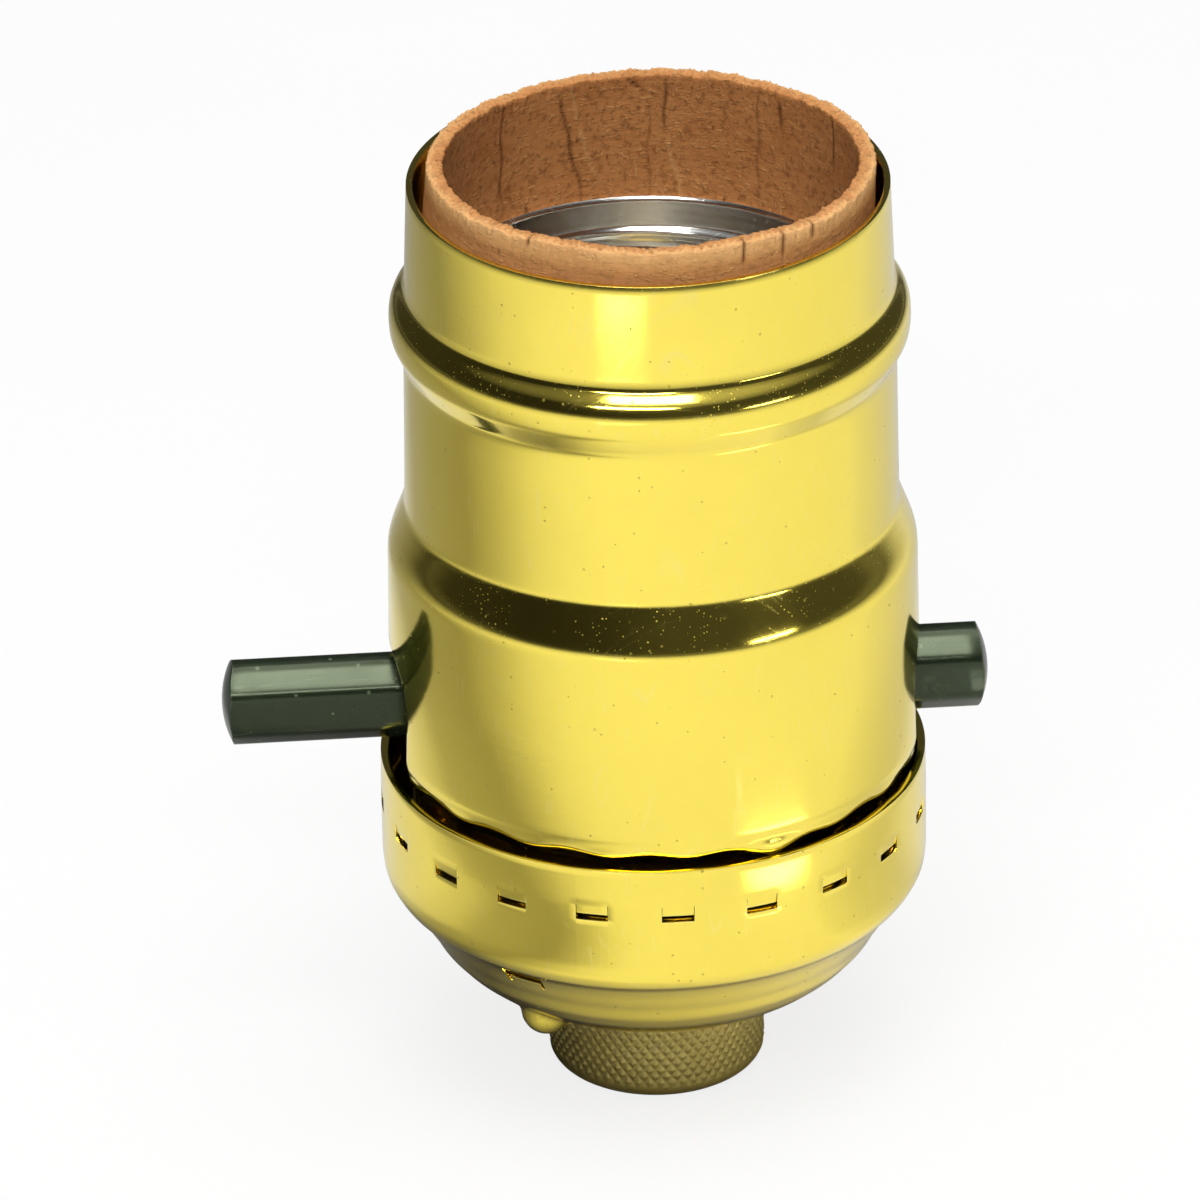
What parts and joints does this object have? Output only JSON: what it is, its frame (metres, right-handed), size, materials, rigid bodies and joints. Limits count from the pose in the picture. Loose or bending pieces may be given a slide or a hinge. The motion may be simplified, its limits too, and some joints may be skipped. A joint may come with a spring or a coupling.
{
  "type": "lamp holder",
  "caption": "Push-through lamp holder: brass cap and shell on a threaded hub, cardboard liner, screw shell and eight-sided push bar that works a switch.",
  "frame": {"origin": "centre of the hub's bottom face, on the axis of its threaded bore", "axes": "+Z towards the lamp along the bore axis, X along the push bar with its long end at -X, so -Y is the front in the picture"},
  "size_m": [0.049, 0.0348, 0.0644],
  "materials": {
    "brass_cap": "lacquered bright",
    "brass_shell": "lacquered bright",
    "brass_hub": "knurled satin",
    "rivet_brass": "satin",
    "contact_brass": "satin",
    "screw_brass": "satin",
    "screw_silver": "nickel plated",
    "contact_silver": "satin",
    "screw_shell_metal": "rolled bright",
    "steel": "zinc plated",
    "spring_steel": "blued",
    "fibre": "vulcanised fibre, matte",
    "phenolic": "moulded phenolic, semi-matte",
    "bar_moulding": "moulded, dark green-black",
    "liner_board": "brown cardboard, matte"
  },
  "bodies": {
    "cap": {"cap": "brass_cap", "threaded_hub": "brass_hub", "set_screw": "steel", "cap_insulator": "fibre", "switch_base": "phenolic", "switch_cover": "phenolic", "assembly_screws": "steel", "screw_shell": "screw_shell_metal", "shell_rivets": "rivet_brass", "centre_contact": "contact_brass", "hot_terminal": "contact_brass", "neutral_terminal": "contact_brass", "brass_terminal_screw": "screw_brass", "silver_terminal_screw": "screw_silver", "fixed_contact": "contact_silver", "pivot_pin": "steel", "detent_spring": "spring_steel"},
    "shell": {"outer_shell": "brass_shell", "insulating_liner": "liner_board"},
    "bar": {"push_bar": "bar_moulding", "drive_pin": "steel"},
    "arm": {"contact_arm": "contact_brass", "moving_contact": "contact_silver"}
  },
  "joints": [
    {"name": "bar_slide", "type": "slide", "parent": "cap", "child": "bar", "axis": [1, 0, 0], "range_m": [0, 0.006]},
    {"name": "arm_swing", "type": "hinge", "parent": "cap", "child": "arm", "pos_m": [0, 0, 0.01755], "axis": [0, 1, 0], "range_deg": [0, 36.14]},
    {"name": "shell_lift", "type": "slide", "parent": "cap", "child": "shell", "axis": [0, 0, 1], "range_m": [0, 0.042]}
  ],
  "couplings": [
    {"joint": "arm_swing", "follows": "bar_slide", "rad_per_m": 105.07}
  ]
}
